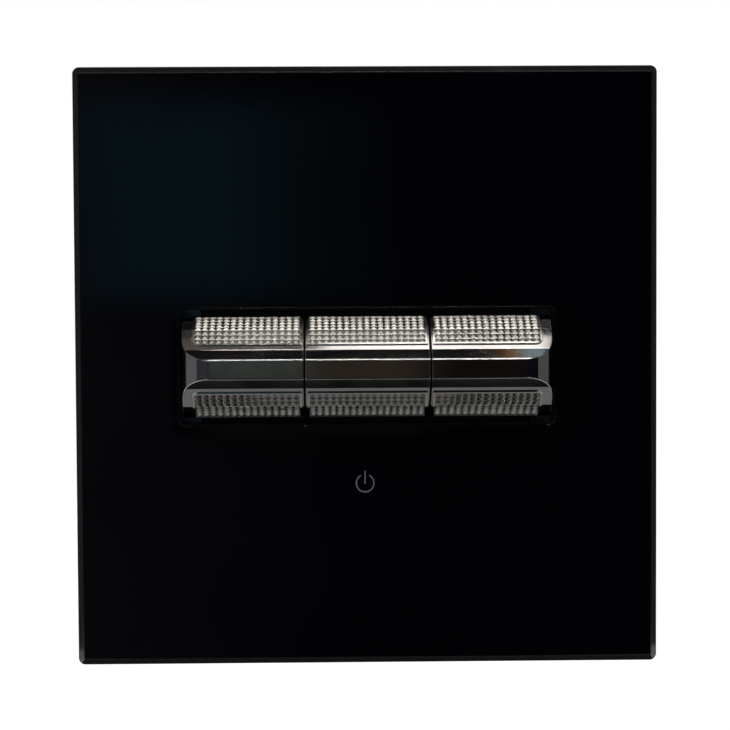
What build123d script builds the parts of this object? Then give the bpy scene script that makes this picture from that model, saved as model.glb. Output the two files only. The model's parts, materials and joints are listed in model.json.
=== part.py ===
from build123d import *
from math import cos, radians, sin, tan
import os

os.makedirs("parts", exist_ok=True)

# A three-gang toggle switch for a square wall box. All sizes are in millimetres.
# X points right, Z points up and the front faces -Y.
# A depth is measured forward from the wall: 0 is the wall, and inside the box it is negative.
# A rise is measured up or down from the height of the lever pins, which is Z = 0.

# Glass and cover
cover_width = 86.0
cover_height = 88.3
cover_depth = 10.0
glass_thickness = 3.0
glass_corner_radius = 1.0
glass_bevel = 0.9
tape_thickness = 0.2
tape_margin = 2.5
carrier_inset = 0.3
carrier_corner_radius = 0.8
carrier_plate = 1.8
carrier_wall = 1.8
peg_inset = 5.0
peg_radius = 1.5
peg_clearance = 0.1
peg_shoulder_radius = 3.0
peg_tip_depth = 0.1
seat_gap = 0.1

# Levers, with each reach measured forward from the glass
lever_width = 17.95
lever_gap = 0.3
lever_end_clearance = 0.3
lever_swing_room = 1.05
lever_insertion = 3.5
root_rise = 7.35
crease_reach = 3.7
crease_rise = 5.6
rim_reach = 7.0
rim_rise = 2.8
nose_reach = 9.0
nose_rise = 1.4
rim_radius = 0.35
nose_radius = 0.25
end_radius = 4.0
end_taper = 0.5
shell_wall = 1.6
shell_hollow_reach = 2.5

# Knurled grips
grip_raise = 0.2
grip_seat = 0.8
grip_root_margin = 0.1
grip_rim_margin = 0.95
grip_inner_margin = 0.25
grip_outer_margin = 1.8
grip_corner_radius = 1.1
grip_border = 0.3
knurl_pitch = 1.0
knurl_depth = 0.28
knurl_root = 0.2

# Slot lining
bezel_wall = 0.3
bezel_fit = 0.05
bezel_setback = 0.05
bezel_flange_width = 1.5
bezel_flange_thickness = 0.6
slot_corner_radius = 0.9

# Lever core, pin and springs
pivot_depth = 5.4
pin_radius = 1.0
pin_clearance = 0.05
core_clearance = 0.1
core_back_clearance = 0.2
core_side_clearance = 0.2
knuckle_radius = 2.0
knuckle_width = 9.0
tail_radius = 3.0
tail_bore_radius = 1.8
tail_end_depth = -3.0
tail_bore_end_depth = 3.0
plunger_clearance = 0.1
plunger_tip_gap = 0.1
plunger_length = 6.9
plunger_bore_radius = 1.2
plunger_bore_length = 4.4
plunger_spring_radius = 0.9
plunger_spring_wire = 0.3
plunger_spring_turns = 7
spring_end_gap = 0.06
return_spring_rise = 4.5
return_spring_radius = 0.65
return_spring_wire = 0.25
return_spring_turns = 6
return_spring_seat = 0.5
return_spring_seat_clearance = 0.15
core_screw_offset = 5.2
core_screw_rise = 2.4
core_screw_radius = 0.8
core_screw_head_radius = 1.4
core_screw_head_height = 1.0
core_screw_grip = 1.8

# Yoke and housing
yoke_side_clearance = 2.9
yoke_end_clearance = 4.05
yoke_corner_radius = 3.0
yoke_thickness = 1.2
box_screw_spacing = 60.3
box_slot_length = 6.5
box_slot_radius = 2.2
yoke_window_margin = 1.25
front_plate = 2.0
web_thickness = 1.8
web_radius = 1.8
web_side_clearance = 0.2
tail_window_clearance = 0.6
housing_height = 50.0
housing_depth = 24.0
housing_wall = 1.5
housing_side_wall = 3.05
housing_corner_radius = 1.0
deck_depth = -13.5
screw_inset = 2.5
screw_radius = 1.2
screw_hole_radius = 1.5
screw_head_radius = 2.2
screw_head_height = 1.6
screw_head_recess = 0.8
screw_end_depth = -8.0
boss_radius = 2.6

# Contacts
strip_thickness = 0.8
strip_width = 5.0
seesaw_width = 7.0
seesaw_flat = 1.0
seesaw_reach = 9.0
seesaw_tilt = 5.0
seesaw_front_depth = -6.6
seesaw_cheek = 2.5
fulcrum_depth = -8.8
fulcrum_radius = 1.0
fulcrum_clearance = 0.05
fulcrum_neck = 1.2
contact_rise = 7.6
contact_radius = 1.6
moving_contact_height = 0.7
fixed_contact_height = 0.6
closed_gap = 0.05
busbar_thickness = 1.0
busbar_height = 5.0
busbar_depth = -10.6
busbar_end = 4.0

# Terminals
terminal_size = 7.0
terminal_length = 9.0
terminal_rise = 17.0
terminal_fit = 0.1
wire_bore_radius = 1.8
wire_bore_length = 7.5
wire_entry_chamfer = 0.4
clamp_radius = 1.2
clamp_head_radius = 2.1
clamp_head_height = 1.3
clamp_tip_clearance = 0.15
clamp_access_clearance = 0.3
core_out_width = 10.0
core_out_height = 18.0
core_out_depth = 8.0

# Lamp
symbol_drop = 17.3
guide_radius = 1.9
guide_flange_radius = 3.0
guide_flange_thickness = 0.6
guide_clearance = 0.1
lamp_width = 3.0
lamp_height = 0.6
board_width = 24.0
board_height = 5.0
board_thickness = 0.8
finger_offset = 1.7
finger_clearance = 0.2

# Worked out from the sizes above
gang_pitch = lever_width + lever_gap
gangs = {"left": -gang_pitch, "middle": 0.0, "right": gang_pitch}
glass_back_depth = cover_depth - glass_thickness
slot_inner_width = 3 * lever_width + 2 * lever_gap + 2 * lever_end_clearance
slot_inner_height = 2 * (root_rise + lever_swing_room)
slot_width = slot_inner_width + 2 * bezel_wall
slot_height = slot_inner_height + 2 * bezel_wall
flange_width = slot_width + 2 * bezel_flange_width
flange_height = slot_height + 2 * bezel_flange_width
carrier_front_depth = glass_back_depth - tape_thickness
carrier_back_depth = carrier_front_depth - carrier_plate
carrier_width = cover_width - 2 * carrier_inset
carrier_height = cover_height - 2 * carrier_inset
yoke_width = carrier_width - 2 * (carrier_wall + yoke_side_clearance)
yoke_height = carrier_height - 2 * (carrier_wall + yoke_end_clearance)
peg_spacing_x = yoke_width - 2 * peg_inset
peg_spacing_z = yoke_height - 2 * peg_inset
plate_front_depth = yoke_thickness + front_plate
lever_back_depth = cover_depth - lever_insertion
hollow_front_depth = cover_depth + shell_hollow_reach
core_back_depth = pivot_depth + web_radius + core_back_clearance
core_head_width = lever_width - 2 * (shell_wall + core_side_clearance)
web_inner = knuckle_width / 2 + web_side_clearance
web_middle = web_inner + web_thickness / 2
pin_length = 2 * (web_inner + web_thickness)
housing_width = 2 * (gang_pitch + terminal_size / 2 + housing_side_wall)
screw_spacing_x = housing_width - 2 * screw_inset
screw_spacing_z = housing_height - 2 * screw_inset
foot_x = gang_pitch / 2
cheek_offset = (seesaw_width - strip_thickness) / 2
plunger_radius = tail_bore_radius - plunger_clearance
plunger_tip_depth = seesaw_front_depth + plunger_tip_gap
plunger_back_depth = plunger_tip_depth + plunger_length
seesaw_back_depth = seesaw_front_depth - strip_thickness
terminal_back_depth = deck_depth - terminal_length
finger_rise = symbol_drop + finger_offset
yoke_window_width = 2 * (gang_pitch + tail_radius + yoke_window_margin)
yoke_window_height = 2 * (finger_rise + yoke_window_margin)


def front_plane(depth):
    """A plane that faces forward at this depth, with X to the right and Z up."""
    return Plane.XZ.offset(depth)


def side_plane(x):
    """A plane square to X whose first axis is the depth and whose second is the rise."""
    return Plane(origin=(x, 0, 0), x_dir=(0, -1, 0), z_dir=(-1, 0, 0))


def bar(low_depth, high_depth, low_rise, high_rise, mode=Mode.ADD):
    """A rectangle on a side plane, given by its limits."""
    with Locations(((low_depth + high_depth) / 2, (low_rise + high_rise) / 2)):
        Rectangle(high_depth - low_depth, high_rise - low_rise, mode=mode)


def save(piece, name):
    """Label the finished piece and write it."""
    piece.part.label = name
    export_step(piece.part, f"parts/{name}.step")


def lever_section(grow=0.0, rounded=False, back_depth=lever_back_depth):
    """The lever's outline seen from the side, grown by the given amount."""
    upper = [
        (back_depth, root_rise),
        (cover_depth, root_rise),
        (cover_depth + crease_reach, crease_rise),
        (cover_depth + rim_reach, rim_rise),
        (cover_depth + nose_reach, nose_rise),
    ]
    lower = [(depth, -rise) for depth, rise in reversed(upper)]
    with BuildSketch(Plane.XY, mode=Mode.PRIVATE) as section:
        with BuildLine():
            Polyline(*upper, *lower, close=True)
        make_face()
        if rounded:
            rim_depth = cover_depth + rim_reach
            fillet(section.vertices().group_by(Axis.X)[-1], nose_radius)
            fillet([v for v in section.vertices() if abs(v.X - rim_depth) < nose_radius / 2], rim_radius)
        if grow:
            offset(amount=grow, kind=Kind.INTERSECTION, mode=Mode.REPLACE)
    return section.sketch


def facet_directions():
    """Unit vectors on the side plane: along the root facet, out of it, and the same for the rim facet."""
    root_way = Vector(crease_reach, crease_rise - root_rise).normalized()
    rim_way = Vector(rim_reach - crease_reach, rim_rise - crease_rise).normalized()
    return root_way, Vector(-root_way.Y, root_way.X), rim_way, Vector(-rim_way.Y, rim_way.X)


def grip_band():
    """The stretch of the lever's outline that the upper grip covers, as a region of the side plane."""
    root_way, root_out, rim_way, rim_out = facet_directions()
    crease = Vector(cover_depth + crease_reach, crease_rise)
    start = Vector(cover_depth, root_rise) + root_way * grip_root_margin
    end = Vector(cover_depth + rim_reach, rim_rise) - rim_way * grip_rim_margin
    depth = 2 * (grip_raise + grip_seat)
    with BuildSketch(Plane.XY, mode=Mode.PRIVATE) as band:
        with BuildLine():
            Polyline(
                start + root_out * depth,
                crease + (root_out + rim_out) * depth,
                end + rim_out * depth,
                end - rim_out * depth,
                start - root_out * depth,
                close=True,
            )
        make_face()
    return band.sketch


def grip_blank(x_start, x_end, outward):
    """An upper grip before it is knurled, with the corner at its outer end well rounded."""
    root_way, root_out, rim_way, rim_out = facet_directions()
    with BuildPart(mode=Mode.PRIVATE) as blank:
        with BuildSketch(side_plane((x_start + x_end) / 2)):
            add(lever_section(grip_raise))
            add(lever_section(-grip_seat), mode=Mode.SUBTRACT)
            add(grip_band(), mode=Mode.INTERSECT)
        extrude(amount=(x_end - x_start) / 2, both=True)
        corners = blank.edges().filter_by(Axis((0, 0, 0), (0, -rim_out.X, rim_out.Y))).sort_by(Axis.X)
        if outward:
            outer_corner = corners[0] if outward < 0 else corners[-1]
            fillet(outer_corner, grip_corner_radius)
    return blank.part


def zigzag(start, end):
    """A row of teeth in section, from start to end, on a low base."""
    count = round((end - start) / knurl_pitch)
    pitch = (end - start) / count
    points = [(start, -knurl_root), (start, 0)]
    for tooth in range(count):
        points.append((start + (tooth + 0.5) * pitch, knurl_depth))
        points.append((start + (tooth + 1) * pitch, 0))
    points.append((end, -knurl_root))
    Polygon(*points, align=None)


def knurl_facet(x_start, x_end, way, out, crease, low, high):
    """The pocket and the pyramids of one facet, between two places measured up the slope."""
    up = Vector(0, way.X, -way.Y)
    origin = Vector(0, -crease.X, crease.Y)
    overlap = knurl_depth if low == 0 else 0
    overlap_above = knurl_depth if high == 0 else 0
    with BuildPart(mode=Mode.PRIVATE) as pocket:
        with BuildSketch(Plane(origin=origin, x_dir=(1, 0, 0), z_dir=(0, -out.X, out.Y))):
            with Locations(((x_start + x_end) / 2, (low - overlap + high + overlap_above) / 2)):
                Rectangle(x_end - x_start, high - low + overlap + overlap_above)
        extrude(amount=2 * knurl_depth)
    with BuildPart(mode=Mode.PRIVATE) as teeth:
        with BuildSketch(Plane(origin=origin + Vector(x_start, 0, 0), x_dir=up, z_dir=(1, 0, 0))):
            zigzag(low, high)
        extrude(amount=x_end - x_start)
        with BuildSketch(Plane(origin=origin, x_dir=(1, 0, 0), z_dir=-up)):
            zigzag(x_start, x_end)
        extrude(amount=high - low, both=True, mode=Mode.INTERSECT)
    return pocket.part, teeth.part


def make_grip(x_start, x_end, outward):
    """An upper grip: a blank whose two facets are pocketed and filled with pyramids."""
    root_way, root_out, rim_way, rim_out = facet_directions()
    valleys = lever_section(grip_raise - knurl_depth)
    root, crease, rim = [Vector(v.X, v.Y) for v in valleys.vertices().sort_by(Axis.X) if v.Y > 0][1:4]
    root_length = (root - crease).length - grip_root_margin - grip_border
    rim_length = (crease - rim).length - grip_rim_margin - grip_border
    low_x = x_start + grip_border
    high_x = x_end - grip_border
    root_pocket, root_teeth = knurl_facet(low_x, high_x, root_way, root_out, crease, 0, root_length)
    rim_pocket, rim_teeth = knurl_facet(low_x, high_x, rim_way, rim_out, crease, -rim_length, 0)
    with BuildPart(mode=Mode.PRIVATE) as grip:
        add(grip_blank(x_start, x_end, outward))
        add(root_pocket, mode=Mode.SUBTRACT)
        add(rim_pocket, mode=Mode.SUBTRACT)
        add(root_teeth)
        add(rim_teeth)
    return grip.part


def coil(radius, wire, turns, low_depth, high_depth, x, rise):
    """A coil spring along Y between two depths."""
    length = high_depth - low_depth - wire - spring_end_gap
    start = Vector(x, -low_depth - (wire + spring_end_gap) / 2, rise)
    with BuildPart(mode=Mode.PRIVATE) as spring:
        with BuildLine() as path:
            Helix(pitch=length / turns, height=length, radius=radius, center=start, direction=(0, -1, 0))
        with BuildSketch(Plane(origin=path.line @ 0, z_dir=path.line % 0)):
            Circle(wire / 2)
        sweep(is_frenet=True)
    return spring.part


# The cover

with BuildPart() as glass_plate:
    with BuildSketch(front_plane(glass_back_depth)):
        RectangleRounded(cover_width, cover_height, glass_corner_radius)
        RectangleRounded(slot_width, slot_height, slot_corner_radius, mode=Mode.SUBTRACT)
    extrude(amount=glass_thickness)
    front_face = glass_plate.faces().sort_by(Axis.Y)[0]
    chamfer(front_face.outer_wire().edges(), glass_bevel)
save(glass_plate, "glass_plate")

with BuildPart() as adhesive_frame:
    with BuildSketch(front_plane(carrier_front_depth)):
        RectangleRounded(carrier_width - 2 * tape_margin, carrier_height - 2 * tape_margin, tape_margin)
        Rectangle(flange_width + 2 * bezel_fit, flange_height + 2 * bezel_fit, mode=Mode.SUBTRACT)
        with Locations((0, -symbol_drop)):
            Circle(guide_flange_radius + guide_clearance, mode=Mode.SUBTRACT)
    extrude(amount=tape_thickness)
save(adhesive_frame, "adhesive_frame")

bezel_width = slot_width - 2 * bezel_fit
bezel_height = slot_height - 2 * bezel_fit
with BuildPart() as slot_bezel:
    with BuildSketch(front_plane(glass_back_depth - bezel_flange_thickness)):
        RectangleRounded(flange_width, flange_height, slot_corner_radius + bezel_flange_width)
    extrude(amount=bezel_flange_thickness)
    with BuildSketch(front_plane(glass_back_depth)):
        RectangleRounded(bezel_width, bezel_height, slot_corner_radius - bezel_fit)
    extrude(amount=glass_thickness - bezel_setback)
    with BuildSketch(front_plane(glass_back_depth - bezel_flange_thickness)):
        RectangleRounded(slot_inner_width, slot_inner_height, slot_corner_radius - bezel_wall)
    extrude(amount=bezel_flange_thickness + glass_thickness, mode=Mode.SUBTRACT)
save(slot_bezel, "slot_bezel")

with BuildPart() as cover_carrier:
    with BuildSketch(front_plane(0)):
        RectangleRounded(carrier_width, carrier_height, carrier_corner_radius)
    extrude(amount=carrier_front_depth)
    with BuildSketch(front_plane(0)):
        Rectangle(carrier_width - 2 * carrier_wall, carrier_height - 2 * carrier_wall)
    extrude(amount=carrier_back_depth, mode=Mode.SUBTRACT)
    with BuildSketch(front_plane(yoke_thickness + seat_gap)):
        with GridLocations(peg_spacing_x, peg_spacing_z, 2, 2):
            Circle(peg_shoulder_radius)
    extrude(amount=carrier_back_depth - yoke_thickness - seat_gap)
    with BuildSketch(front_plane(peg_tip_depth)):
        with GridLocations(peg_spacing_x, peg_spacing_z, 2, 2):
            Circle(peg_radius)
    extrude(amount=carrier_back_depth - peg_tip_depth)
    with BuildSketch(front_plane(carrier_back_depth)):
        RectangleRounded(slot_width, slot_height, slot_corner_radius)
        with Locations((0, -symbol_drop)):
            Circle(guide_radius + guide_clearance)
    extrude(amount=carrier_plate, mode=Mode.SUBTRACT)
    with BuildSketch(front_plane(glass_back_depth - bezel_flange_thickness)):
        Rectangle(flange_width + 2 * bezel_fit, flange_height + 2 * bezel_fit)
        with Locations((0, -symbol_drop)):
            Circle(guide_flange_radius + guide_clearance)
    extrude(amount=bezel_flange_thickness, mode=Mode.SUBTRACT)
save(cover_carrier, "cover_carrier")

with BuildPart() as light_guide:
    with BuildSketch(front_plane(carrier_back_depth)):
        with Locations((0, -symbol_drop)):
            Circle(guide_radius)
    extrude(amount=glass_back_depth - carrier_back_depth)
    with BuildSketch(front_plane(glass_back_depth - guide_flange_thickness)):
        with Locations((0, -symbol_drop)):
            Circle(guide_flange_radius)
    extrude(amount=guide_flange_thickness)
save(light_guide, "light_guide")

# The yoke and the housing

with BuildPart() as yoke:
    with BuildSketch(front_plane(0)):
        RectangleRounded(yoke_width, yoke_height, yoke_corner_radius)
        Rectangle(yoke_window_width, yoke_window_height, mode=Mode.SUBTRACT)
        with GridLocations(box_screw_spacing, 0, 2, 1):
            SlotOverall(box_slot_length, 2 * box_slot_radius, mode=Mode.SUBTRACT)
        with GridLocations(peg_spacing_x, peg_spacing_z, 2, 2):
            Circle(peg_radius + peg_clearance, mode=Mode.SUBTRACT)
        with GridLocations(screw_spacing_x, screw_spacing_z, 2, 2):
            Circle(screw_hole_radius, mode=Mode.SUBTRACT)
    extrude(amount=yoke_thickness)
save(yoke, "yoke")

with BuildPart() as housing_front:
    with BuildSketch(front_plane(yoke_thickness)):
        RectangleRounded(housing_width, housing_height, housing_corner_radius)
        with GridLocations(gang_pitch, 0, 3, 1):
            Rectangle(
                2 * (tail_radius + tail_window_clearance),
                2 * (tail_radius + tail_window_clearance),
                mode=Mode.SUBTRACT,
            )
        with Locations((-foot_x, -finger_rise), (foot_x, -finger_rise)):
            Rectangle(
                strip_width + 2 * finger_clearance,
                strip_thickness + 2 * finger_clearance,
                mode=Mode.SUBTRACT,
            )
        with GridLocations(screw_spacing_x, screw_spacing_z, 2, 2):
            Circle(screw_hole_radius, mode=Mode.SUBTRACT)
    extrude(amount=front_plate)
    with BuildSketch(front_plane(plate_front_depth - screw_head_recess)):
        with GridLocations(screw_spacing_x, screw_spacing_z, 2, 2):
            Rectangle(2 * screw_inset, 2 * screw_inset)
    extrude(amount=screw_head_recess, mode=Mode.SUBTRACT)
    for gang_x in gangs.values():
        for web_x in (gang_x - web_middle, gang_x + web_middle):
            with BuildSketch(side_plane(web_x)):
                bar(plate_front_depth, pivot_depth, -web_radius, web_radius)
                with Locations((pivot_depth, 0)):
                    Circle(web_radius)
                    Circle(pin_radius, mode=Mode.SUBTRACT)
            extrude(amount=web_thickness / 2, both=True)
save(housing_front, "housing_front")

outputs = {gang: (gang_x, terminal_rise) for gang, gang_x in gangs.items()}
feeds = {"line": (-foot_x, -terminal_rise), "neutral": (foot_x, -terminal_rise)}
terminals = outputs | feeds

with BuildPart() as housing_rear:
    with BuildSketch(front_plane(-housing_depth)):
        RectangleRounded(housing_width, housing_height, housing_corner_radius)
    extrude(amount=housing_depth)
    with BuildSketch(front_plane(deck_depth)):
        Rectangle(housing_width - 2 * housing_wall, housing_height - 2 * housing_wall)
        with GridLocations(screw_spacing_x, screw_spacing_z, 2, 2):
            Circle(boss_radius, mode=Mode.SUBTRACT)
    extrude(amount=-deck_depth, mode=Mode.SUBTRACT)
    with BuildSketch(front_plane(screw_end_depth)):
        with GridLocations(screw_spacing_x, screw_spacing_z, 2, 2):
            Circle(screw_radius)
    extrude(amount=-screw_end_depth, mode=Mode.SUBTRACT)
    with BuildSketch(front_plane(terminal_back_depth)):
        with Locations(*terminals.values()):
            Rectangle(terminal_size + 2 * terminal_fit, terminal_size + 2 * terminal_fit)
    extrude(amount=terminal_length, mode=Mode.SUBTRACT)
    with BuildSketch(front_plane(-housing_depth)):
        with Locations(*terminals.values()):
            Circle(wire_bore_radius)
    extrude(amount=housing_depth + terminal_back_depth, mode=Mode.SUBTRACT)
    with BuildSketch(front_plane(-housing_depth)):
        with Locations(*terminals.values()):
            Circle(wire_bore_radius + wire_entry_chamfer)
    extrude(amount=wire_entry_chamfer, taper=45, mode=Mode.SUBTRACT)
    with BuildSketch(front_plane(-housing_depth)):
        with GridLocations(gang_pitch, 0, 3, 1):
            Rectangle(core_out_width, core_out_height)
    extrude(amount=core_out_depth, mode=Mode.SUBTRACT)
    clamp_depth = (deck_depth + terminal_back_depth) / 2
    with BuildSketch(Plane.XY.offset(terminal_rise)):
        with Locations(*[(x, -clamp_depth) for x, rise in outputs.values()]):
            Circle(clamp_head_radius + clamp_access_clearance)
    extrude(amount=housing_height / 2 - terminal_rise, mode=Mode.SUBTRACT)
    with BuildSketch(Plane.XY.offset(-housing_height / 2)):
        with Locations(*[(x, -clamp_depth) for x, rise in feeds.values()]):
            Circle(clamp_head_radius + clamp_access_clearance)
    extrude(amount=housing_height / 2 - terminal_rise, mode=Mode.SUBTRACT)
save(housing_rear, "housing_rear")

with BuildPart() as assembly_screws:
    head_depth = plate_front_depth - screw_head_recess
    with BuildSketch(front_plane(head_depth)):
        with GridLocations(screw_spacing_x, screw_spacing_z, 2, 2):
            Circle(screw_head_radius)
    extrude(amount=screw_head_height)
    with BuildSketch(front_plane(screw_end_depth)):
        with GridLocations(screw_spacing_x, screw_spacing_z, 2, 2):
            Circle(screw_radius)
    extrude(amount=head_depth - screw_end_depth)
save(assembly_screws, "assembly_screws")

with BuildPart() as pivot_pins:
    for gang_x in gangs.values():
        with BuildSketch(side_plane(gang_x)):
            with Locations((pivot_depth, 0)):
                Circle(pin_radius)
        extrude(amount=pin_length / 2, both=True)
save(pivot_pins, "pivot_pins")

# The fixed contacts and terminals

# A tilted seesaw's wing is upright, and this is where the back of its contact then lies.
wing_back = (fulcrum_depth
             + (seesaw_back_depth - fulcrum_depth) * cos(radians(seesaw_tilt))
             - seesaw_flat * sin(radians(seesaw_tilt)))
fixed_contact_depth = wing_back - moving_contact_height - closed_gap
strip_front_depth = fixed_contact_depth - fixed_contact_height
pad_inner = contact_rise - contact_radius - strip_thickness / 2
pad_outer = contact_rise + contact_radius + strip_thickness
link_end = terminal_rise + terminal_size / 2 - strip_thickness
finger_low = -finger_rise - strip_thickness / 2
finger_high = -finger_rise + strip_thickness / 2

with BuildPart() as common_busbar:
    with BuildSketch(side_plane(0)):
        with Locations((fulcrum_depth, 0)):
            Circle(fulcrum_radius)
        bar(busbar_depth, fulcrum_depth, -fulcrum_neck / 2, fulcrum_neck / 2)
        bar(busbar_depth - busbar_thickness, busbar_depth, -busbar_height / 2, busbar_height / 2)
    extrude(amount=gang_pitch + busbar_end, both=True)
    with BuildSketch(side_plane(foot_x)):
        bar(deck_depth, busbar_depth, -busbar_height / 2, busbar_height / 2)
    extrude(amount=strip_width / 2, both=True)
    with BuildSketch(side_plane(-foot_x)):
        bar(deck_depth, busbar_depth, -busbar_height / 2, busbar_height / 2)
        bar(deck_depth, deck_depth + busbar_thickness, -link_end, 0)
        bar(deck_depth, plate_front_depth, finger_low, finger_high)
    extrude(amount=strip_width / 2, both=True)
save(common_busbar, "common_busbar")

with BuildPart() as neutral_strip:
    with BuildSketch(side_plane(foot_x)):
        bar(deck_depth, deck_depth + strip_thickness, -link_end, -terminal_rise + terminal_size / 2)
        bar(deck_depth, plate_front_depth, finger_low, finger_high)
    extrude(amount=strip_width / 2, both=True)
save(neutral_strip, "neutral_strip")

with BuildPart() as led_board:
    with BuildSketch(front_plane(plate_front_depth)):
        with Locations((0, -symbol_drop)):
            Rectangle(board_width, board_height)
    extrude(amount=board_thickness)
save(led_board, "led_board")

with BuildPart() as led_lamp:
    with BuildSketch(front_plane(plate_front_depth + board_thickness)):
        with Locations((0, -symbol_drop)):
            Rectangle(lamp_width, lamp_width / 2)
    extrude(amount=lamp_height)
save(led_lamp, "led_lamp")

for gang, gang_x in gangs.items():
    with BuildPart() as output_strip:
        with BuildSketch(side_plane(gang_x)):
            bar(deck_depth, deck_depth + strip_thickness, -pad_outer, link_end)
            for low_rise, high_rise, leg in (
                (pad_inner, pad_outer, pad_outer - strip_thickness),
                (-pad_outer, -pad_inner, -pad_outer),
            ):
                bar(strip_front_depth - strip_thickness, strip_front_depth, low_rise, high_rise)
                bar(deck_depth, strip_front_depth, leg, leg + strip_thickness)
        extrude(amount=strip_width / 2, both=True)
    save(output_strip, f"{gang}_output_strip")

    with BuildPart() as fixed_contacts:
        with BuildSketch(front_plane(strip_front_depth)):
            with Locations((gang_x, contact_rise), (gang_x, -contact_rise)):
                Circle(contact_radius)
        extrude(amount=fixed_contact_height)
    save(fixed_contacts, f"{gang}_fixed_contacts")

for name, (x, rise) in terminals.items():
    with BuildPart() as terminal:
        with BuildSketch(front_plane(terminal_back_depth)):
            with Locations((x, rise)):
                Rectangle(terminal_size, terminal_size)
        extrude(amount=terminal_length)
        with BuildSketch(front_plane(terminal_back_depth)):
            with Locations((x, rise)):
                Circle(wire_bore_radius)
        extrude(amount=wire_bore_length, mode=Mode.SUBTRACT)
        with BuildSketch(Plane.XY.offset(rise)):
            with Locations((x, -clamp_depth)):
                Circle(clamp_radius)
        extrude(amount=terminal_size if rise > 0 else -terminal_size, mode=Mode.SUBTRACT)
    save(terminal, f"{name}_terminal")

with BuildPart() as clamp_screws:
    for x, rise in terminals.values():
        outward = 1 if rise > 0 else -1
        tip = rise + outward * (wire_bore_radius + clamp_tip_clearance)
        cage_face = rise + outward * terminal_size / 2
        with BuildSketch(Plane.XY.offset(tip)):
            with Locations((x, -clamp_depth)):
                Circle(clamp_radius)
        extrude(amount=cage_face - tip)
        with BuildSketch(Plane.XY.offset(cage_face)):
            with Locations((x, -clamp_depth)):
                Circle(clamp_head_radius)
        extrude(amount=outward * clamp_head_height)
save(clamp_screws, "clamp_screws")

# The levers, each with its grips, core, springs, plunger and seesaw

outward_side = {"left": -1, "middle": 0, "right": 1}
core_screw_tip_depth = hollow_front_depth + core_screw_grip
core_screw_head_depth = core_back_depth + core_screw_head_height

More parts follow.
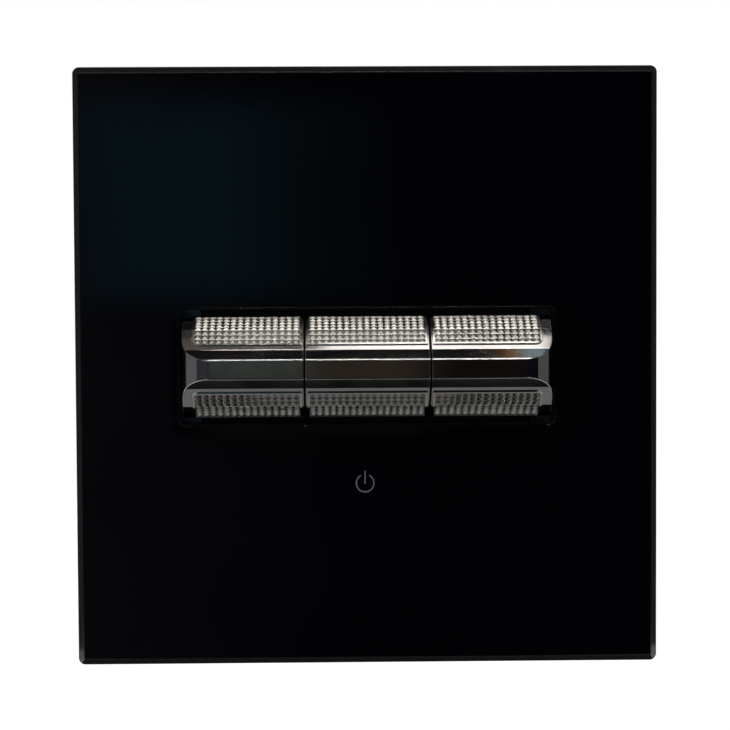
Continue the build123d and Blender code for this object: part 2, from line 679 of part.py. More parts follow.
for gang, gang_x in gangs.items():
    outward = outward_side[gang]
    low_margin = grip_outer_margin if outward < 0 else grip_inner_margin
    high_margin = grip_outer_margin if outward > 0 else grip_inner_margin
    grip_low = gang_x - lever_width / 2 + low_margin
    grip_high = gang_x + lever_width / 2 - high_margin
    blank = grip_blank(grip_low, grip_high, outward)
    screw_places = [
        (gang_x - core_screw_offset, core_screw_rise),
        (gang_x + core_screw_offset, -core_screw_rise),
    ]

    with BuildPart() as shell:
        with BuildSketch(side_plane(gang_x)):
            add(lever_section(rounded=True))
        extrude(amount=lever_width / 2, both=True)
        if outward:
            outer_x = gang_x + outward * lever_width / 2
            inner_x = gang_x - outward * lever_width / 2
            nose_depth = cover_depth + nose_reach
            with BuildSketch(Plane.XY.offset(-root_rise)) as plan:
                with BuildLine():
                    Polyline(
                        (inner_x, -lever_back_depth),
                        (outer_x, -lever_back_depth),
                        (outer_x - outward * end_taper, -nose_depth),
                        (inner_x, -nose_depth),
                        close=True,
                    )
                make_face()
                nose_corner = plan.vertices().group_by(Axis.Y)[0].sort_by(Axis.X)
                fillet(nose_corner[0] if outward < 0 else nose_corner[-1], end_radius)
            extrude(amount=2 * root_rise, mode=Mode.INTERSECT)
        with BuildSketch(side_plane(gang_x)):
            add(lever_section(-shell_wall, back_depth=lever_back_depth - 2 * shell_wall))
            hollow_back_depth = lever_back_depth - shell_wall
            bar(hollow_back_depth, hollow_front_depth, -root_rise, root_rise, mode=Mode.INTERSECT)
        extrude(amount=lever_width / 2 - shell_wall, both=True, mode=Mode.SUBTRACT)
        add(blank, mode=Mode.SUBTRACT)
        add(mirror(blank, about=Plane.XY, mode=Mode.PRIVATE), mode=Mode.SUBTRACT)
        with BuildSketch(front_plane(hollow_front_depth)):
            with Locations(*screw_places):
                Circle(core_screw_radius)
        extrude(amount=core_screw_grip, mode=Mode.SUBTRACT)
    save(shell, f"{gang}_shell")

    with BuildPart() as upper_grip:
        add(make_grip(grip_low, grip_high, outward))
    save(upper_grip, f"{gang}_upper_grip")

    with BuildPart() as lower_grip:
        add(mirror(upper_grip.part, about=Plane.XY, mode=Mode.PRIVATE))
    save(lower_grip, f"{gang}_lower_grip")

    with BuildPart() as core:
        with BuildSketch(side_plane(gang_x)):
            add(lever_section(-shell_wall - core_clearance, back_depth=lever_back_depth - 2 * shell_wall))
            bar(core_back_depth, hollow_front_depth, -root_rise, root_rise, mode=Mode.INTERSECT)
        extrude(amount=core_head_width / 2, both=True)
        with BuildSketch(side_plane(gang_x)):
            bar(pivot_depth, core_back_depth, -knuckle_radius, knuckle_radius)
            with Locations((pivot_depth, 0)):
                Circle(knuckle_radius)
        extrude(amount=knuckle_width / 2, both=True)
        with BuildSketch(front_plane(tail_end_depth)):
            with Locations((gang_x, 0)):
                Circle(tail_radius)
        extrude(amount=core_back_depth - tail_end_depth)
        with BuildSketch(front_plane(tail_end_depth)):
            with Locations((gang_x, 0)):
                Circle(tail_bore_radius)
        extrude(amount=tail_bore_end_depth - tail_end_depth, mode=Mode.SUBTRACT)
        with BuildSketch(side_plane(gang_x)):
            with Locations((pivot_depth, 0)):
                Circle(pin_radius + pin_clearance)
        extrude(amount=knuckle_width / 2, both=True, mode=Mode.SUBTRACT)
        with BuildSketch(front_plane(core_back_depth)):
            with Locations((gang_x, return_spring_rise), (gang_x, -return_spring_rise)):
                Circle(return_spring_radius + return_spring_wire / 2 + return_spring_seat_clearance)
        extrude(amount=return_spring_seat, mode=Mode.SUBTRACT)
        with BuildSketch(front_plane(core_back_depth)):
            with Locations(*screw_places):
                Circle(core_screw_radius)
        extrude(amount=hollow_front_depth - core_back_depth, mode=Mode.SUBTRACT)
        with BuildSketch(front_plane(core_back_depth)):
            with Locations(*screw_places):
                Circle(core_screw_head_radius)
        extrude(amount=core_screw_head_height, mode=Mode.SUBTRACT)
    save(core, f"{gang}_core")

    with BuildPart() as core_screws:
        with BuildSketch(front_plane(core_back_depth)):
            with Locations(*screw_places):
                Circle(core_screw_head_radius)
        extrude(amount=core_screw_head_height)
        with BuildSketch(front_plane(core_screw_head_depth)):
            with Locations(*screw_places):
                Circle(core_screw_radius)
        extrude(amount=core_screw_tip_depth - core_screw_head_depth)
    save(core_screws, f"{gang}_core_screws")

    with BuildPart() as return_springs:
        for rise in (return_spring_rise, -return_spring_rise):
            add(coil(return_spring_radius, return_spring_wire, return_spring_turns,
                     plate_front_depth, core_back_depth + return_spring_seat, gang_x, rise))
    save(return_springs, f"{gang}_return_springs")

    with BuildPart() as plunger:
        with BuildSketch(front_plane(plunger_tip_depth)):
            with Locations((gang_x, 0)):
                Circle(plunger_radius)
        extrude(amount=plunger_length)
        tip_edge = plunger.edges().group_by(Axis.Y)[-1]
        fillet(tip_edge, plunger_radius - plunger_clearance)
        with BuildSketch(front_plane(plunger_back_depth - plunger_bore_length)):
            with Locations((gang_x, 0)):
                Circle(plunger_bore_radius)
        extrude(amount=plunger_bore_length, mode=Mode.SUBTRACT)
    save(plunger, f"{gang}_plunger")

    with BuildPart() as plunger_spring:
        add(coil(plunger_spring_radius, plunger_spring_wire, plunger_spring_turns,
                 plunger_back_depth - plunger_bore_length, tail_bore_end_depth, gang_x, 0))
    save(plunger_spring, f"{gang}_plunger_spring")

    wing_length = seesaw_reach - seesaw_flat
    wing_way = (sin(radians(seesaw_tilt)), cos(radians(seesaw_tilt)))
    tip_front = (seesaw_front_depth + wing_length * wing_way[0], seesaw_flat + wing_length * wing_way[1])
    tip_back = (tip_front[0] - strip_thickness * wing_way[1], tip_front[1] + strip_thickness * wing_way[0])
    bend_back = seesaw_flat + strip_thickness * tan(radians(seesaw_tilt / 2))
    with BuildPart() as seesaw:
        with BuildSketch(side_plane(gang_x)):
            with BuildLine():
                Polyline(
                    (seesaw_front_depth, 0),
                    (seesaw_front_depth, seesaw_flat),
                    tip_front,
                    tip_back,
                    (seesaw_back_depth, bend_back),
                    (seesaw_back_depth, 0),
                    close=True,
                )
            make_face()
            mirror(about=Plane.XZ)
        extrude(amount=seesaw_width / 2, both=True)
        for cheek_x in (gang_x - cheek_offset, gang_x + cheek_offset):
            with BuildSketch(side_plane(cheek_x)):
                bar(fulcrum_depth, seesaw_back_depth, -seesaw_cheek, seesaw_cheek)
                with Locations((fulcrum_depth, 0)):
                    Circle(fulcrum_radius + fulcrum_clearance, mode=Mode.SUBTRACT)
            extrude(amount=strip_thickness / 2, both=True)
    save(seesaw, f"{gang}_seesaw")

    contact_way = (contact_rise - seesaw_flat) / wing_way[1]
    with BuildPart() as moving_contacts:
        for end in (1, -1):
            middle = Vector(
                gang_x,
                -(seesaw_back_depth + contact_way * wing_way[0]),
                end * (bend_back + contact_way * wing_way[1]),
            )
            facing = (0, wing_way[1], end * wing_way[0])
            with BuildSketch(Plane(origin=middle, x_dir=(1, 0, 0), z_dir=facing)):
                Circle(contact_radius)
            extrude(amount=moving_contact_height)
    save(moving_contacts, f"{gang}_moving_contacts")
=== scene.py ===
import json
import math

import bpy
import bmesh
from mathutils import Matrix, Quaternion, Vector


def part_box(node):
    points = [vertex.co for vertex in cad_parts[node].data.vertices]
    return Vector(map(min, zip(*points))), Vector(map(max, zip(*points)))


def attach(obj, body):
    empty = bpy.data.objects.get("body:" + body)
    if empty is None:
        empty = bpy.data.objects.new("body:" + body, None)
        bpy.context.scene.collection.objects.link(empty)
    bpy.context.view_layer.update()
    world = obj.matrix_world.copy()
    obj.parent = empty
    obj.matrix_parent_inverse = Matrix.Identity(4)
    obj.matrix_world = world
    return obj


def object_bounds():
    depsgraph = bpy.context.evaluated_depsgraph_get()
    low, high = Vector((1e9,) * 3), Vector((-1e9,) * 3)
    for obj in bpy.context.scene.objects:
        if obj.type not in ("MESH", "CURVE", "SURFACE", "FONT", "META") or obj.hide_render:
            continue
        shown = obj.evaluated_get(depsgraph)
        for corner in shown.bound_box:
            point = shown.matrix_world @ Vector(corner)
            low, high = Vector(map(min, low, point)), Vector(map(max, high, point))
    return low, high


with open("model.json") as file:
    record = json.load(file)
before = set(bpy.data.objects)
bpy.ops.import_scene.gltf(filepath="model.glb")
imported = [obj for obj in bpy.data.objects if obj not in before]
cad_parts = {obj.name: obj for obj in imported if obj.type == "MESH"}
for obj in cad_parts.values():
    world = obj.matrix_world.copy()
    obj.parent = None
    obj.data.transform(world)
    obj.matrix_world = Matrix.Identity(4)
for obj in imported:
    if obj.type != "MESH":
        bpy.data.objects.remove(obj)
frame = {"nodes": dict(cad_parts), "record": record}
cad_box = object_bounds()

# All sizes are in metres. X points right, Z points up and the front faces -Y.
mm = 0.001

# The camera, from the four corners of the plate and the edges of the levers in the photograph. Its
# lens and sensor are in mm.
camera_place = Vector((-5.85, -327.1, 15.14)) * mm
camera_aim = Vector((-0.26, -10.0, 0.20)) * mm
camera_roll = math.radians(0.3)
camera_lens = 106.1
camera_sensor = 36
camera_near = 0.01

# The power symbol, printed on the glass
symbol_drop = 17.3 * mm
symbol_shift = -0.33 * mm
symbol_radius = 1.3 * mm
symbol_stroke = 0.2 * mm
symbol_gap = math.radians(27)
symbol_bar_top = 1.87 * mm
symbol_bar_bottom = -0.05 * mm
symbol_thickness = 0.02 * mm
symbol_steps = 48

# The two screws that hold the yoke to the wall box. Their outline is given as radius and distance
# behind the yoke's front face, in mm.
box_screw_spacing = 60.3 * mm
screw_sides = 40
screw_socket = [(0.0, -1.0), (0.8, -1.1), (1.0, -1.9)]
screw_dome = [(1.3, -2.0), (2.2, -1.85), (2.9, -1.45), (3.25, -0.8), (3.25, 0.0)]
screw_neck = [(1.6, 0.0)]
screw_tip = [(0.9, 10.0), (0.0, 10.2)]
thread_turns = 12
thread_start = 1.2
thread_pitch = 0.7
thread_radius = 1.7
thread_root = 1.45

# The floor and the world
floor_drop = 0.12
floor_size = 8.0
floor_colour = 0.8
floor_glow = 0.62
world_light = 0.5
background_white = 1.0

# The studio that the part mirrors. A soft card is solid over this share of its height.
room_half_width = 0.7
lamp_height = 0.50
ceiling_height = 0.60
ground_card_lift = 4 * mm
card_cloud_scale = 20.0
soft_card_solid_share = 0.6

# What most of a noise texture's values lie between, and the rays that look for rounded edges
noise_low = 0.3
noise_high = 0.7
edge_samples = 6


class Finish:
    """A procedural material. Its textures lie in the piece's own space, and their scales are per metre."""

    def __init__(self, name, metallic=0.0, ior=1.5):
        self.material = bpy.data.materials.new(name)
        self.material.use_nodes = True
        self.nodes = self.material.node_tree.nodes
        self.links = self.material.node_tree.links
        self.shader = self.nodes["Principled BSDF"]
        self.shader.inputs["Metallic"].default_value = metallic
        self.shader.inputs["IOR"].default_value = ior
        self.place = self.nodes.new("ShaderNodeTexCoord").outputs["Object"]
        self.last_bump = None

    def rounded_edges(self, radius):
        """Makes sharp edges catch the light as edges of the given radius do."""
        node = self.nodes.new("ShaderNodeBevel")
        node.samples = edge_samples
        node.inputs["Radius"].default_value = radius
        self.last_bump = node.outputs["Normal"]
        self.links.new(self.last_bump, self.shader.inputs["Normal"])

    def noise(self, scale, detail=2.0, stretch=(1, 1, 1)):
        """Soft noise from 0 to 1. A stretch under 1 draws it out along that axis."""
        mapping = self.nodes.new("ShaderNodeMapping")
        mapping.inputs["Scale"].default_value = stretch
        self.links.new(self.place, mapping.inputs["Vector"])
        texture = self.nodes.new("ShaderNodeTexNoise")
        texture.inputs["Scale"].default_value = scale
        texture.inputs["Detail"].default_value = detail
        self.links.new(mapping.outputs["Vector"], texture.inputs["Vector"])
        return texture.outputs["Fac"]

    def spread(self, value, low, high):
        """A noise's usual range, spread over low to high."""
        node = self.nodes.new("ShaderNodeMapRange")
        node.inputs["From Min"].default_value = noise_low
        node.inputs["From Max"].default_value = noise_high
        node.inputs["To Min"].default_value = low
        node.inputs["To Max"].default_value = high
        self.links.new(value, node.inputs["Value"])
        return node.outputs["Result"]

    def colour(self, value, first, second):
        """A colour that goes from the first to the second as the noise rises."""
        mix = self.nodes.new("ShaderNodeMix")
        mix.data_type = "RGBA"
        mix.inputs["A"].default_value = (*first, 1)
        mix.inputs["B"].default_value = (*second, 1)
        self.links.new(self.spread(value, 0, 1), mix.inputs["Factor"])
        self.links.new(mix.outputs["Result"], self.shader.inputs["Base Color"])

    def roughness(self, value, low, high):
        """A roughness that goes from low to high as the noise rises."""
        self.links.new(self.spread(value, low, high), self.shader.inputs["Roughness"])

    def bump(self, value, depth):
        """Relief of the given depth, laid over any relief that the finish already has."""
        node = self.nodes.new("ShaderNodeBump")
        node.inputs["Strength"].default_value = 1.0
        node.inputs["Distance"].default_value = depth
        self.links.new(value, node.inputs["Height"])
        if self.last_bump:
            self.links.new(self.last_bump, node.inputs["Normal"])
        self.last_bump = node.outputs["Normal"]
        self.links.new(self.last_bump, self.shader.inputs["Normal"])


def black_glass():
    """Polished glass, painted black behind, with the haze of a wiped surface."""
    finish = Finish("black_glass", ior=1.52)
    clouds = finish.noise(30)
    smears = finish.noise(90, 4, (1, 1, 0.4))
    waves = finish.noise(25, 1)
    finish.rounded_edges(0.28 * mm)
    finish.colour(clouds, (0.0006, 0.0007, 0.0012), (0.0009, 0.0010, 0.0016))
    finish.roughness(smears, 0.02, 0.07)
    finish.bump(waves, 0.01 * mm)
    return finish.material


def polished_metal(name, dark, light, smooth, rough, edge, wave, ripple):
    """Plated and polished metal, with the slow waves of a casting, finer ripples and a faint haze."""
    finish = Finish(name, metallic=1.0)
    clouds = finish.noise(120)
    haze = finish.noise(260, 4)
    finish.rounded_edges(edge)
    finish.colour(clouds, dark, light)
    finish.roughness(haze, smooth, rough)
    finish.bump(finish.noise(160, 1), wave)
    if ripple:
        finish.bump(finish.noise(900, 1), ripple)
    return finish.material


def brushed_metal(name, dark, light, smooth, rough, grain):
    """Rolled or plated sheet with fine lines along X and cloudy patches."""
    finish = Finish(name, metallic=1.0)
    patches = finish.noise(180, 3)
    lines = finish.noise(6000, 3, (0.04, 1, 1))
    finish.colour(patches, dark, light)
    finish.roughness(lines, smooth, rough)
    finish.bump(lines, grain)
    return finish.material


def moulded_plastic(name, dark, light, smooth, rough, grain):
    """Moulded plastic with spark texture and slight flow marks."""
    finish = Finish(name)
    flow_marks = finish.noise(60, 3, (1, 1, 0.3))
    sheen = finish.noise(900, 3)
    sparks = finish.noise(9000, 2)
    finish.colour(flow_marks, dark, light)
    finish.roughness(sheen, smooth, rough)
    finish.bump(sparks, grain)
    return finish.material


def frosted_plastic():
    """The clear plastic of the light guide, with a matt surface that spreads the light."""
    finish = Finish("clear_plastic", ior=1.49)
    finish.shader.inputs["Transmission Weight"].default_value = 0.6
    finish.colour(finish.noise(500), (0.82, 0.85, 0.88), (0.92, 0.94, 0.96))
    finish.roughness(finish.noise(2000, 3), 0.3, 0.5)
    finish.bump(finish.noise(9000, 2), 0.01 * mm)
    return finish.material


def black_tape():
    """The matt double-sided tape between the glass and the carrier."""
    finish = Finish("tape")
    finish.colour(finish.noise(2500, 3), (0.03, 0.03, 0.03), (0.07, 0.07, 0.07))
    finish.roughness(finish.noise(800), 0.75, 0.95)
    finish.bump(finish.noise(5000, 2), 0.03 * mm)
    return finish.material


def printed_grey():
    """The thin, slightly uneven ink of the symbol."""
    finish = Finish("printed_grey")
    finish.colour(finish.noise(3000, 2), (0.10, 0.10, 0.12), (0.14, 0.14, 0.165))
    finish.roughness(finish.noise(2500), 0.4, 0.6)
    finish.bump(finish.noise(8000, 2), 0.003 * mm)
    return finish.material


# Dark and light colour, smoothest and roughest, radius of the edges, depth of the waves and ripples
polished_metals = {
    # The bezel's near-black colour is painted shade. It is far darker than any plated metal, so that the
    # lining of the slot stays dark and shows no highlights, as it would in shade.
    "bezel_metal": ((0.025, 0.025, 0.028), (0.04, 0.04, 0.043), 0.2, 0.3, 0.05 * mm, 0.004 * mm, 0),
    "silver": ((0.78, 0.77, 0.74), (0.88, 0.87, 0.85), 0.25, 0.4, 0.05 * mm, 0.004 * mm, 0),
    "lever_chrome": ((0.42, 0.41, 0.40), (0.48, 0.47, 0.46), 0.05, 0.1, 0.15 * mm, 0.006 * mm, 0),
    "grip_chrome": ((0.58, 0.57, 0.54), (0.66, 0.64, 0.61), 0.06, 0.12, 0.05 * mm, 0.012 * mm, 0.006 * mm),
}

# Dark and light colour, smoothest and roughest, depth of the grain
brushed_metals = {
    "zinc_steel": ((0.55, 0.57, 0.60), (0.68, 0.68, 0.67), 0.28, 0.48, 0.004 * mm),
    "screw_steel": ((0.48, 0.48, 0.50), (0.60, 0.60, 0.61), 0.2, 0.4, 0.004 * mm),
    "brass_strip": ((0.70, 0.52, 0.26), (0.82, 0.64, 0.36), 0.2, 0.4, 0.004 * mm),
    "spring_steel": ((0.54, 0.54, 0.56), (0.64, 0.64, 0.66), 0.2, 0.35, 0.002 * mm),
}
moulded_plastics = {
    "black_abs": ((0.014, 0.014, 0.015), (0.024, 0.024, 0.025), 0.4, 0.6, 0.02 * mm),
    "grey_nylon": ((0.68, 0.69, 0.70), (0.78, 0.78, 0.78), 0.4, 0.6, 0.02 * mm),
    "core_nylon": ((0.022, 0.022, 0.023), (0.035, 0.035, 0.036), 0.4, 0.6, 0.02 * mm),
    "board_green": ((0.03, 0.18, 0.08), (0.06, 0.26, 0.12), 0.2, 0.35, 0.01 * mm),
    "lamp_white": ((0.88, 0.87, 0.78), (0.94, 0.93, 0.86), 0.2, 0.35, 0.004 * mm),
    "plunger_white": ((0.84, 0.84, 0.82), (0.92, 0.92, 0.90), 0.25, 0.4, 0.004 * mm),
}

finishes = {"black_glass": black_glass(), "tape": black_tape(), "clear_plastic": frosted_plastic()}
for make_finish, kinds in (
    (polished_metal, polished_metals),
    (brushed_metal, brushed_metals),
    (moulded_plastic, moulded_plastics),
):
    for name, values in kinds.items():
        finishes[name] = make_finish(name, *values)

finish_of_node = {part["node"]: part["material_slot"] for part in frame["record"]["subparts"]}
for node, piece in frame["nodes"].items():
    for material_slot in piece.material_slots:
        material_slot.material = finishes[finish_of_node[node]]


def linked_piece(name, data, material):
    """An object in the scene, made of the mesh data."""
    data.materials.append(material)
    piece = bpy.data.objects.new(name, data)
    bpy.context.scene.collection.objects.link(piece)
    return piece


def closed_piece(name, mesh, material):
    """A piece made of a closed bmesh, with its faces turned outwards."""
    bmesh.ops.recalc_face_normals(mesh, faces=mesh.faces)
    data = bpy.data.meshes.new(name)
    mesh.to_mesh(data)
    mesh.free()
    return linked_piece(name, data, material)


def slab(name, outlines, back, front, material):
    """A thin flat piece that faces -Y, from closed outlines of (x, z) points that don't touch one another."""
    mesh = bmesh.new()
    for outline in outlines:
        back_ring = [mesh.verts.new((x, back, z)) for x, z in outline]
        front_ring = [mesh.verts.new((x, front, z)) for x, z in outline]
        mesh.faces.new(front_ring)
        mesh.faces.new(reversed(back_ring))
        for here in range(len(outline)):
            there = (here + 1) % len(outline)
            mesh.faces.new((back_ring[here], back_ring[there], front_ring[there], front_ring[here]))
    return closed_piece(name, mesh, material)


def turned_piece(name, profile, centre, sides, material):
    """A piece turned about a line along Y, from (radius, y) points of which the first and last lie on it."""
    centre_x, centre_z = centre
    mesh = bmesh.new()
    start = mesh.verts.new((centre_x, profile[0][1], centre_z))
    end = mesh.verts.new((centre_x, profile[-1][1], centre_z))
    angles = [2 * math.pi * side / sides for side in range(sides)]
    rings = []
    for radius, y in profile[1:-1]:
        points = [(centre_x + radius * math.cos(a), y, centre_z + radius * math.sin(a)) for a in angles]
        rings.append([mesh.verts.new(point) for point in points])
    for here in range(sides):
        there = (here + 1) % sides
        mesh.faces.new((start, rings[0][here], rings[0][there]))
        mesh.faces.new((end, rings[-1][there], rings[-1][here]))
        for ring, following in zip(rings, rings[1:]):
            mesh.faces.new((ring[here], following[here], following[there], ring[there]))
    return closed_piece(name, mesh, material)


def make_symbol():
    """The power symbol: an open ring with a short bar through its gap."""
    half = symbol_stroke / 2
    inner = symbol_radius - half
    outer = symbol_radius + half
    turn = (2 * math.pi - 2 * symbol_gap) / symbol_steps
    angles = [symbol_gap + step * turn for step in range(symbol_steps + 1)]
    ring = [(outer * math.sin(a), outer * math.cos(a)) for a in angles]
    ring += [(inner * math.sin(a), inner * math.cos(a)) for a in reversed(angles)]
    bar = [(-half, symbol_bar_bottom), (half, symbol_bar_bottom)]
    bar += [(half, symbol_bar_top), (-half, symbol_bar_top)]
    outlines = [[(x + symbol_shift, z - symbol_drop) for x, z in outline] for outline in (ring, bar)]
    glass_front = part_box("glass_plate")[0].y
    symbol = slab("power_symbol", outlines, glass_front, glass_front - symbol_thickness, printed_grey())
    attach(symbol, "cover")


def make_box_screws():
    """The two box screws, with a socket in a domed head, and a threaded shank through the yoke's slots.

    They wear the frame's own plain steel, not the finish that has its name.
    """
    plain_steel = bpy.data.materials["screw_steel"]
    thread = []
    for turn in range(thread_turns):
        crest = thread_start + thread_pitch * turn
        thread += [(thread_radius, crest), (thread_root, crest + thread_pitch / 2)]
    outline = screw_socket + screw_dome + screw_neck + thread + screw_tip
    yoke_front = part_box("yoke")[0].y
    profile = [(radius * mm, yoke_front + y * mm) for radius, y in outline]
    for name, x in (("left_box_screw", -box_screw_spacing / 2), ("right_box_screw", box_screw_spacing / 2)):
        screw = turned_piece(name, profile, (x, 0), screw_sides, plain_steel)
        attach(screw, "mechanism")


def background_share(nodes, links):
    """1 for a ray from the camera or from a mirror or clear surface, and 0 for one that lights a surface."""
    path = nodes.new("ShaderNodeLightPath")
    share = path.outputs["Is Camera Ray"]
    for name in ("Is Glossy Ray", "Is Transmission Ray"):
        larger = nodes.new("ShaderNodeMath")
        larger.operation = "MAXIMUM"
        links.new(share, larger.inputs[0])
        links.new(path.outputs[name], larger.inputs[1])
        share = larger.outputs["Value"]
    return share


def make_world():
    """White as a background and in mirrors, and softer as a light."""
    world = bpy.data.worlds.new("studio")
    world.use_nodes = True
    nodes, links = world.node_tree.nodes, world.node_tree.links
    lighting = nodes["Background"]
    lighting.inputs["Strength"].default_value = world_light
    lighting.inputs["Color"].default_value = (1, 1, 1, 1)
    shown = nodes.new("ShaderNodeBackground")
    shown.inputs["Strength"].default_value = background_white
    shown.inputs["Color"].default_value = (1, 1, 1, 1)
    mix = nodes.new("ShaderNodeMixShader")
    links.new(background_share(nodes, links), mix.inputs["Fac"])
    links.new(lighting.outputs["Background"], mix.inputs[1])
    links.new(shown.outputs["Background"], mix.inputs[2])
    links.new(mix.outputs["Shader"], nodes["World Output"].inputs["Surface"])
    bpy.context.scene.world = world


def panel(name, centre, half, material):
    """A flat rectangle of the stage, from its centre and its half sizes along X, Y and Z, one of them 0."""
    half_x, half_y, half_z = half
    across = Vector((half_x, 0, 0)) if half_x else Vector((0, half_y, 0))
    up = Vector((0, 0, half_z)) if half_z else Vector((0, half_y, 0))
    middle = Vector(centre)
    corners = [middle - across - up, middle + across - up, middle + across + up, middle - across + up]
    data = bpy.data.meshes.new(name)
    data.from_pydata([tuple(corner) for corner in corners], [], [(0, 1, 2, 3)])
    piece = linked_piece(name, data, material)
    return piece


def make_floor():
    """A pale floor below the part, nearly white to the camera."""
    material = bpy.data.materials.new("pale_floor")
    material.use_nodes = True
    nodes, links = material.node_tree.nodes, material.node_tree.links
    shader = nodes["Principled BSDF"]
    shader.inputs["Base Color"].default_value = (floor_colour, floor_colour, floor_colour, 1)
    shader.inputs["Roughness"].default_value = 1.0
    shader.inputs["Specular IOR Level"].default_value = 0.0
    shader.inputs["Emission Color"].default_value = (1, 1, 1, 1)
    glow = nodes.new("ShaderNodeMath")
    glow.operation = "MULTIPLY"
    glow.inputs[1].default_value = floor_glow
    links.new(background_share(nodes, links), glow.inputs[0])
    links.new(glow.outputs["Value"], shader.inputs["Emission Strength"])
    panel("floor", (0, 0, cad_box[0].z - floor_drop), (floor_size / 2, floor_size / 2, 0), material)


def colour_along_x(nodes, links, stops, cloud):
    """A colour that changes along X through (x, colour) stops, which soft clouds shift by up to cloud."""
    start = stops[0][0]
    end = stops[-1][0]
    place = nodes.new("ShaderNodeTexCoord").outputs["Object"]
    split = nodes.new("ShaderNodeSeparateXYZ")
    clouds = nodes.new("ShaderNodeTexNoise")
    clouds.inputs["Scale"].default_value = card_cloud_scale
    shift = nodes.new("ShaderNodeMapRange")
    shift.inputs["To Min"].default_value = -cloud
    shift.inputs["To Max"].default_value = cloud
    shifted = nodes.new("ShaderNodeMath")
    shifted.operation = "ADD"
    along = nodes.new("ShaderNodeMapRange")
    along.inputs["From Min"].default_value = start
    along.inputs["From Max"].default_value = end
    ramp = nodes.new("ShaderNodeValToRGB")
    elements = ramp.color_ramp.elements
    for index, (x, colour) in enumerate(stops):
        share = (x - start) / (end - start)
        element = elements[index] if index < 2 else elements.new(share)
        element.position = share
        element.color = (*colour, 1)
    links.new(place, split.inputs["Vector"])
    links.new(place, clouds.inputs["Vector"])
    links.new(clouds.outputs["Fac"], shift.inputs["Value"])
    links.new(split.outputs["X"], shifted.inputs[0])
    links.new(shift.outputs["Result"], shifted.inputs[1])
    links.new(shifted.outputs["Value"], along.inputs["Value"])
    links.new(along.outputs["Result"], ramp.inputs["Fac"])
    return ramp.outputs["Color"]


def clear_above_and_below(nodes, links, shader, middle, half):
    """The shader around the middle height, which turns clear by the time it is half away from it."""
    split = nodes.new("ShaderNodeSeparateXYZ")
    above = nodes.new("ShaderNodeMath")
    above.operation = "SUBTRACT"
    above.inputs[1].default_value = middle
    away = nodes.new("ShaderNodeMath")
    away.operation = "ABSOLUTE"
    share = nodes.new("ShaderNodeMapRange")
    share.interpolation_type = "SMOOTHSTEP"
    share.inputs["From Min"].default_value = soft_card_solid_share * half
    share.inputs["From Max"].default_value = half
    share.inputs["To Min"].default_value = 1
    share.inputs["To Max"].default_value = 0
    clear = nodes.new("ShaderNodeBsdfTransparent")
    mix = nodes.new("ShaderNodeMixShader")
    links.new(nodes.new("ShaderNodeTexCoord").outputs["Object"], split.inputs["Vector"])
    links.new(split.outputs["Z"], above.inputs[0])
    links.new(above.outputs["Value"], away.inputs[0])
    links.new(away.outputs["Value"], share.inputs["Value"])
    links.new(share.outputs["Result"], mix.inputs["Fac"])
    links.new(clear.outputs["BSDF"], mix.inputs[1])
    links.new(shader, mix.inputs[2])
    return mix.outputs["Shader"]


def mirror_card(name, centre, half, stops, cloud=0.01, soft=False):
    """A card that only mirror surfaces see, as a photographer holds one up to a glossy thing.

    Its colour changes along X through the stops. A soft card turns clear at its top and bottom.
    """
    material = bpy.data.materials.new(name)
    material.use_nodes = True
    nodes, links = material.node_tree.nodes, material.node_tree.links
    nodes.remove(nodes["Principled BSDF"])
    glow = nodes.new("ShaderNodeEmission")
    links.new(colour_along_x(nodes, links, stops, cloud), glow.inputs["Color"])
    shader = glow.outputs["Emission"]
    if soft:
        shader = clear_above_and_below(nodes, links, shader, centre[2], half[2])
    links.new(shader, nodes["Material Output"].inputs["Surface"])
    card = panel(name, centre, half, material)
    card.visible_camera = False
    card.visible_diffuse = False
    card.visible_shadow = False
    card.visible_transmission = False


def plain_card(name, centre, half, colour):
    """A mirror card of one colour."""
    mirror_card(name, centre, half, [(-room_half_width, colour), (room_half_width, colour)])


def make_front_cards():
    """The dark room in front, which the glass and the noses of the levers mirror."""
    black = (0.006, 0.006, 0.012)
    grey = (0.05, 0.05, 0.06)
    teal = (0.04, 0.11, 0.16)
    dim_teal = (0.03, 0.06, 0.08)
    slate = (0.072, 0.09, 0.082)
    brown = (0.045, 0.035, 0.028)
    dark = (0.01, 0.007, 0.006)
    room = [(-room_half_width, grey), (-0.12, grey), (0.0, black), (room_half_width, black)]
    window = [(-0.105, grey), (-0.08, teal), (-0.04, teal), (-0.02, dim_teal), (0.02, black)]
    slate_then_brown = [(-0.052, black), (-0.045, slate), (-0.018, slate), (-0.008, brown)]
    only_brown = [(-0.052, black), (-0.045, brown)]
    to_dark = [(0.02, brown), (0.035, dark), (0.08, dark)]
    mirror_card("card_front", (0, -0.50, 0.145), (room_half_width, 0, 0.305), room, cloud=0.05)
    mirror_card("card_teal", (-0.0425, -0.45, 0.038), (0.0625, 0, 0.042), window, soft=True)
    for name, z, stops in (("card_slate", -0.014, slate_then_brown), ("card_brown", -0.035, only_brown)):
        mirror_card(name, (0.01, -0.449, z), (0.07, 0, 0.0105), stops + to_dark, cloud=0.004)


def make_ceiling_cards():
    """The ceiling in front and at the rear, and a small bright card that the right lever mirrors."""
    black = (0.006, 0.006, 0.012)
    orange = (1.5, 0.7, 0.16)
    pale_blue = (2.0, 2.8, 3.2)
    patch = [(0.059, black), (0.062, orange), (0.0685, orange)]
    patch += [(0.0705, pale_blue), (0.078, pale_blue), (0.081, black)]
    ceiling = (0.045, 0.041, 0.043)
    rear_ceiling = (0.15, 0.128, 0.12)
    plain_card("card_above", (0, -0.26, ceiling_height), (room_half_width, 0.26, 0), ceiling)
    plain_card("card_rear", (0, 0.08, ceiling_height), (room_half_width, 0.08, 0), rear_ceiling)
    mirror_card("card_patch", (0.070, -0.170, 0.495), (0.011, 0.018, 0), patch, cloud=0.02)


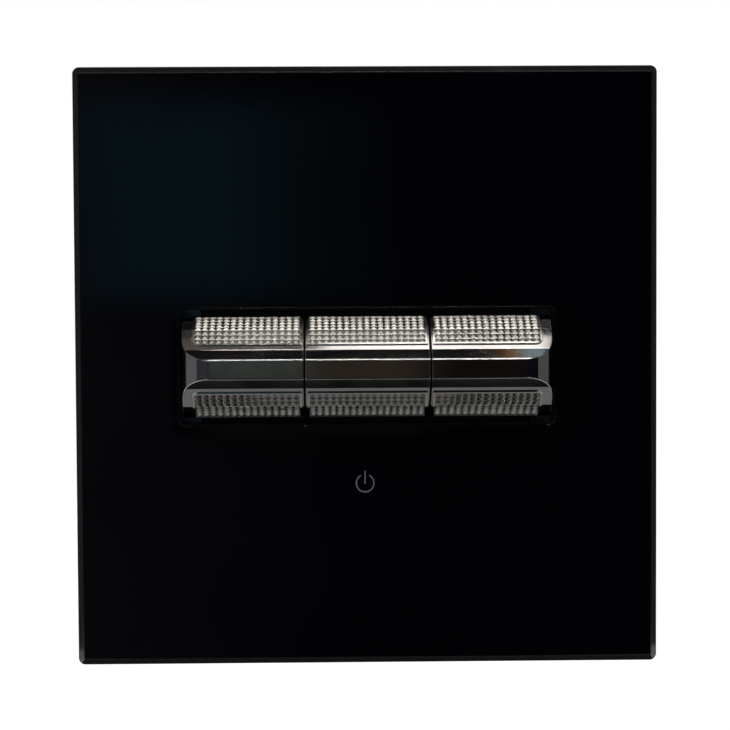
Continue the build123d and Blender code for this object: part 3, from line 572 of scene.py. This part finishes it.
def make_ground_cards():
    """Cards on the ground, edge to edge, which the lower grips and edges of the levers mirror."""
    z = cad_box[0].z - floor_drop + ground_card_lift
    plain_card("card_below", (0, -0.284, z), (0.08, 0.216, 0), (0.04, 0.04, 0.04))
    plain_card("card_near", (0, 0.0425, z), (0.12, 0.0775, 0), (0.08, 0.08, 0.08))
    plain_card("card_step", (0, -0.0435, z), (0.12, 0.0085, 0), (0.8, 0.8, 0.79))
    plain_card("card_far", (0, -0.060, z), (0.12, 0.008, 0), (0.36, 0.36, 0.355))


def make_side_cards():
    """A wall on either side."""
    left_wall = (0.17, 0.165, 0.175)
    right_wall = (0.13, 0.13, 0.135)
    plain_card("card_side_0", (-room_half_width, 0.15, 0.2), (0, 0.65, 0.36), left_wall)
    plain_card("card_side_2", (room_half_width, 0.15, 0.2), (0, 0.65, 0.36), right_wall)


def area_light(name, place, target, size, radiance, colour):
    """A lamp of the given width and height, which shows in a mirror as the radiance times the colour."""
    width, height = size
    data = bpy.data.lights.new(name, "AREA")
    data.shape = "RECTANGLE"
    data.size = width
    data.size_y = height
    data.energy = radiance * math.pi * width * height
    data.color = colour
    light = bpy.data.objects.new(name, data)
    light.location = place
    light.rotation_euler = (Vector(target) - Vector(place)).to_track_quat("-Z", "Y").to_euler()
    bpy.context.scene.collection.objects.link(light)


def make_lamps():
    """Soft lamps above and in front. The narrow bright ones draw thin lines of light along the edges."""
    warm = (1.0, 0.97, 0.92)
    cream = (1.0, 0.98, 0.94)
    white = (1.0, 0.99, 0.97)
    levers = (0, -0.015, 0)
    area_light("softbox", (0, -0.296, lamp_height), levers, (0.36, 0.10), 2.0, warm)
    area_light("strip_front", (0, -0.406, 0.311), levers, (0.40, 0.045), 0.9, warm)
    area_light("overhead", (0.0355, 0.0655, lamp_height), (0.0355, 0.0, 0), (0.085, 0.052), 2.3, cream)
    area_light("edge", (0.085, -0.36, 0.42), levers, (0.20, 0.010), 40.0, white)
    area_light("line", (0.0175, -0.1055, lamp_height), (0.0175, -0.015, 0), (0.135, 0.027), 25.0, cream)
    for name, x in (("strip_0", -0.33), ("strip_2", 0.33)):
        area_light(name, (x, -0.20, lamp_height), levers, (0.16, 0.16), 1.4, white)


def make_camera():
    """The camera, where the photograph was taken from."""
    data = bpy.data.cameras.new("camera")
    data.sensor_width = camera_sensor
    data.lens = camera_lens
    data.clip_start = camera_near
    camera = bpy.data.objects.new("camera", data)
    camera.location = camera_place
    camera.rotation_mode = "QUATERNION"
    aim = (camera_aim - camera_place).to_track_quat("-Z", "Y")
    camera.rotation_quaternion = aim @ Quaternion((0, 0, 1), -camera_roll)
    bpy.context.scene.collection.objects.link(camera)
    bpy.context.scene.camera = camera


make_symbol()
make_box_screws()
make_floor()
make_front_cards()
make_ceiling_cards()
make_ground_cards()
make_side_cards()
make_lamps()
make_world()
make_camera()
bpy.context.scene.view_settings.view_transform = "Standard"
